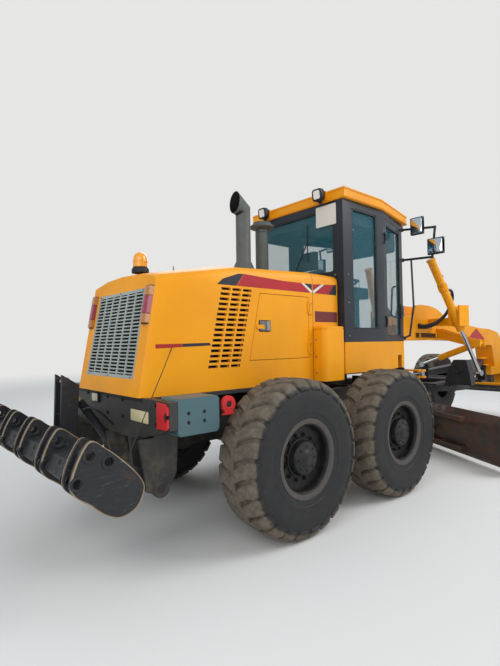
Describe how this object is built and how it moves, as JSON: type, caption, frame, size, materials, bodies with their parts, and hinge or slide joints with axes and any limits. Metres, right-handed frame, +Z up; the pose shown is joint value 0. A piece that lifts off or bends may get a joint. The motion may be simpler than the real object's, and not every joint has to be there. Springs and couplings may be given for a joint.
{
  "type": "motor grader",
  "caption": "Articulated road-levelling machine with a turning blade under an arched front frame, a glazed cab, a rear engine hood and a rear ripper",
  "frame": {"origin": "on the ground, under the middle of the machine's length and width", "axes": "+X forwards, towards the front push plate; +Y to the machine's left; +Z up"},
  "size_m": [9.71, 3.7673, 3.4175],
  "materials": {
    "yellow": "construction yellow enamel, dusty",
    "cab_dark": "dark blue-grey enamel",
    "charcoal": "charcoal enamel under dry mud",
    "grey_green": "grey-green enamel",
    "black_metal": "black enamel, worn",
    "stack_metal": "heat-resistant grey paint",
    "chrome_rod": "hard-chromed rod",
    "tyre": "rubber with dried mud",
    "glass": "blue-tinted glazing",
    "lamp": "lamp lenses",
    "seat": "dark seat cover",
    "blade_steel": "worn and rusty blade steel"
  },
  "bodies": {
    "rear": {"rear_frame": "charcoal", "engine": "charcoal", "hood": "yellow", "grille": "grey_green", "rear_lamps": "lamp", "stacks": "stack_metal", "side_cabinets": "yellow", "tool_boxes": "grey_green", "tandems": "charcoal", "cab_base": "yellow", "cab_frame": "cab_dark", "cab_roof": "yellow", "cab_glass": "glass", "seat": "seat", "console": "cab_dark", "rails": "cab_dark"},
    "front": {"front_frame": "yellow", "front_axle": "charcoal", "head_lamps": "lamp"},
    "drawbar": {"drawbar": "black_metal"},
    "draw_link": {"draw_link": "black_metal"},
    "circle": {"circle_ring": "black_metal"},
    "carrier": {"blade_carrier": "black_metal"},
    "blade": {"moldboard": "blade_steel"},
    "tie_rod": {"tie_rod": "charcoal"},
    "steer_barrel": {"steer_barrel": "yellow"},
    "steer_rod": {"steer_rod": "chrome_rod"},
    "shift_barrel": {"shift_barrel": "yellow"},
    "shift_rod": {"shift_rod": "chrome_rod"},
    "ripper": {"ripper": "black_metal"},
    "ripper_barrel": {"ripper_barrel": "black_metal"},
    "ripper_rod": {"ripper_rod": "chrome_rod"},
    "knuckle_right": {"knuckle_right": "charcoal"},
    "engine_door_right": {"engine_door_right": "yellow"},
    "cab_door_right": {"cab_door_right": "cab_dark", "door_glass_right": "glass"},
    "lift_barrel_right": {"lift_barrel_right": "yellow"},
    "lift_rod_right": {"lift_rod_right": "chrome_rod"},
    "artic_barrel_right": {"artic_barrel_right": "charcoal"},
    "artic_rod_right": {"artic_rod_right": "chrome_rod"},
    "wheel_rear_right": {"tyre_rear_right": "tyre", "rim_rear_right": "yellow"},
    "wheel_mid_right": {"tyre_mid_right": "tyre", "rim_mid_right": "yellow"},
    "wheel_front_right": {"tyre_front_right": "tyre", "rim_front_right": "yellow"},
    "knuckle_left": {"knuckle_left": "charcoal"},
    "engine_door_left": {"engine_door_left": "yellow"},
    "cab_door_left": {"cab_door_left": "cab_dark", "door_glass_left": "glass"},
    "lift_barrel_left": {"lift_barrel_left": "yellow"},
    "lift_rod_left": {"lift_rod_left": "chrome_rod"},
    "artic_barrel_left": {"artic_barrel_left": "charcoal"},
    "artic_rod_left": {"artic_rod_left": "chrome_rod"},
    "wheel_rear_left": {"tyre_rear_left": "tyre", "rim_rear_left": "yellow"},
    "wheel_mid_left": {"tyre_mid_left": "tyre", "rim_mid_left": "yellow"},
    "wheel_front_left": {"tyre_front_left": "tyre", "rim_front_left": "yellow"}
  },
  "joints": [
    {"name": "articulation", "type": "hinge", "parent": "rear", "child": "front", "pos_m": [0.265, 0, 0.97], "axis": [0, 0, 1], "range_deg": [-27, 27]},
    {"name": "steering", "type": "hinge", "parent": "front", "child": "knuckle_right", "pos_m": [4.064, -0.8, 0.674], "axis": [0, 0, 1], "range_deg": [-50, 50]},
    {"name": "steering_left", "type": "hinge", "parent": "front", "child": "knuckle_left", "pos_m": [4.064, 0.8, 0.674], "axis": [0, 0, 1], "range_deg": [-50.05, 50.05]},
    {"name": "drawbar_swing", "type": "hinge", "parent": "front", "child": "draw_link", "pos_m": [3.855, 0, 1.2], "axis": [0, 0, 1], "range_deg": [-8, 8]},
    {"name": "drawbar_lift", "type": "hinge", "parent": "draw_link", "child": "drawbar", "pos_m": [3.725, 0, 1.2], "axis": [0, 1, 0], "range_deg": [-12, 10.5]},
    {"name": "circle_turn", "type": "hinge", "parent": "drawbar", "child": "circle", "pos_m": [1.345, 0, 0.92], "axis": [0, 0, 1], "continuous": true},
    {"name": "blade_pitch", "type": "hinge", "parent": "circle", "child": "carrier", "pos_m": [1.04189, 0.175, 0.23], "axis": [0.5, 0.866, 0], "range_deg": [-5, 40]},
    {"name": "blade_shift", "type": "slide", "parent": "carrier", "child": "blade", "axis": [0.5, 0.866, 0], "range_m": [-0.6, 0.6]},
    {"name": "ripper_lift", "type": "hinge", "parent": "rear", "child": "ripper", "pos_m": [-4.035, 0, 0.56], "axis": [0, 1, 0], "range_deg": [-30, 0]},
    {"name": "cab_door_right", "type": "hinge", "parent": "rear", "child": "cab_door_right", "pos_m": [-0.7842, -0.7354, 2.425], "axis": [0, 0, 1], "range_deg": [-95, 0]},
    {"name": "cab_door_left", "type": "hinge", "parent": "rear", "child": "cab_door_left", "pos_m": [-0.7842, 0.7354, 2.425], "axis": [0, 0, 1], "range_deg": [0, 95]},
    {"name": "engine_door_right", "type": "hinge", "parent": "rear", "child": "engine_door_right", "pos_m": [-2.192, -0.667, 1.81], "axis": [0, 0, 1], "range_deg": [0, 110]},
    {"name": "engine_door_left", "type": "hinge", "parent": "rear", "child": "engine_door_left", "pos_m": [-2.192, 0.667, 1.81], "axis": [0, 0, 1], "range_deg": [-110, 0]},
    {"name": "wheel_rear_right", "type": "hinge", "parent": "rear", "child": "wheel_rear_right", "pos_m": [-2.924, -1.09, 0.674], "axis": [0, 1, 0], "continuous": true},
    {"name": "wheel_mid_right", "type": "hinge", "parent": "rear", "child": "wheel_mid_right", "pos_m": [-1.386, -1.09, 0.674], "axis": [0, 1, 0], "continuous": true},
    {"name": "wheel_front_right", "type": "hinge", "parent": "knuckle_right", "child": "wheel_front_right", "pos_m": [4.064, -1.09, 0.674], "axis": [0, 1, 0], "continuous": true},
    {"name": "wheel_rear_left", "type": "hinge", "parent": "rear", "child": "wheel_rear_left", "pos_m": [-2.924, 1.09, 0.674], "axis": [0, 1, 0], "continuous": true},
    {"name": "wheel_mid_left", "type": "hinge", "parent": "rear", "child": "wheel_mid_left", "pos_m": [-1.386, 1.09, 0.674], "axis": [0, 1, 0], "continuous": true},
    {"name": "wheel_front_left", "type": "hinge", "parent": "knuckle_left", "child": "wheel_front_left", "pos_m": [4.064, 1.09, 0.674], "axis": [0, 1, 0], "continuous": true},
    {"name": "tie_rod_turn", "type": "hinge", "parent": "knuckle_right", "child": "tie_rod", "pos_m": [3.784, -0.8, 0.674], "axis": [0, 0, 1], "range_deg": [-50.05, 50.05]},
    {"name": "lift_right_swing", "type": "hinge", "parent": "front", "child": "lift_barrel_right", "pos_m": [1.24171, -0.70852, 1.95], "axis": [0.304, 0.9527, 0], "range_deg": [-10.25, 11.71]},
    {"name": "lift_right_stroke", "type": "slide", "parent": "lift_barrel_right", "child": "lift_rod_right", "axis": [0.4659, -0.1487, -0.8723], "range_m": [-0.3315, 0.3787]},
    {"name": "artic_right_swing", "type": "hinge", "parent": "rear", "child": "artic_barrel_right", "pos_m": [-0.905, -0.56, 1.16], "axis": [0, 0, 1], "range_deg": [-4.66, 4.66]},
    {"name": "artic_right_stroke", "type": "slide", "parent": "artic_barrel_right", "child": "artic_rod_right", "axis": [0.9981, 0.0615, 0], "range_m": [-0.2274, 0.2274]},
    {"name": "lift_left_swing", "type": "hinge", "parent": "front", "child": "lift_barrel_left", "pos_m": [1.24171, 0.70852, 1.95], "axis": [-0.304, 0.9527, 0], "range_deg": [-10.25, 11.71]},
    {"name": "lift_left_stroke", "type": "slide", "parent": "lift_barrel_left", "child": "lift_rod_left", "axis": [0.4659, 0.1487, -0.8723], "range_m": [-0.3315, 0.3787]},
    {"name": "artic_left_swing", "type": "hinge", "parent": "rear", "child": "artic_barrel_left", "pos_m": [-0.905, 0.56, 1.16], "axis": [0, 0, 1], "range_deg": [-4.66, 4.66]},
    {"name": "artic_left_stroke", "type": "slide", "parent": "artic_barrel_left", "child": "artic_rod_left", "axis": [0.9981, -0.0615, 0], "range_m": [-0.2274, 0.2274]},
    {"name": "shift_swing", "type": "hinge", "parent": "front", "child": "shift_barrel", "pos_m": [1.745, -0.82, 1.6], "axis": [1, 0, 0], "range_deg": [-20.58, 18.01]},
    {"name": "shift_stroke", "type": "slide", "parent": "shift_barrel", "child": "shift_rod", "axis": [0, 0.9338, -0.3577], "range_m": [-0.2746, 0.2746]},
    {"name": "steer_swing", "type": "hinge", "parent": "front", "child": "steer_barrel", "pos_m": [3.894, 0.15, 0.756], "axis": [0, 0, 1], "range_deg": [-2.17, 2.17]},
    {"name": "steer_stroke", "type": "slide", "parent": "steer_barrel", "child": "steer_rod", "axis": [0, -1, 0], "range_m": [-0.1364, 0.1364]},
    {"name": "ripper_swing", "type": "hinge", "parent": "rear", "child": "ripper_barrel", "pos_m": [-4.045, 0, 0.73], "axis": [0, 1, 0], "range_deg": [-34.6, 0.05]},
    {"name": "ripper_stroke", "type": "slide", "parent": "ripper_barrel", "child": "ripper_rod", "axis": [-0.5726, 0, 0.8198], "range_m": [-0.001, 0.0632]}
  ],
  "couplings": [
    {"joint": "steering_left", "follows": "steering", "ratio": 1},
    {"joint": "tie_rod_turn", "follows": "steering", "ratio": -1},
    {"joint": "lift_right_swing", "follows": "drawbar_lift", "ratio": -0.9716},
    {"joint": "lift_right_stroke", "follows": "drawbar_lift", "m_per_rad": -1.8033},
    {"joint": "artic_right_swing", "follows": "articulation", "ratio": 0.1708},
    {"joint": "artic_right_stroke", "follows": "articulation", "m_per_rad": 0.4805},
    {"joint": "lift_left_swing", "follows": "drawbar_lift", "ratio": -0.9716},
    {"joint": "lift_left_stroke", "follows": "drawbar_lift", "m_per_rad": -1.8033},
    {"joint": "artic_left_swing", "follows": "articulation", "ratio": 0.1708},
    {"joint": "artic_left_stroke", "follows": "articulation", "m_per_rad": -0.4805},
    {"joint": "shift_swing", "follows": "drawbar_lift", "ratio": 1.7109},
    {"joint": "shift_stroke", "follows": "drawbar_swing", "m_per_rad": -1.9594},
    {"joint": "steer_swing", "follows": "steering", "ratio": -0.0425},
    {"joint": "steer_stroke", "follows": "steering", "m_per_rad": 0.1552},
    {"joint": "ripper_swing", "follows": "ripper_lift", "ratio": 1.1517},
    {"joint": "ripper_stroke", "follows": "ripper_lift", "m_per_rad": -0.1187}
  ]
}
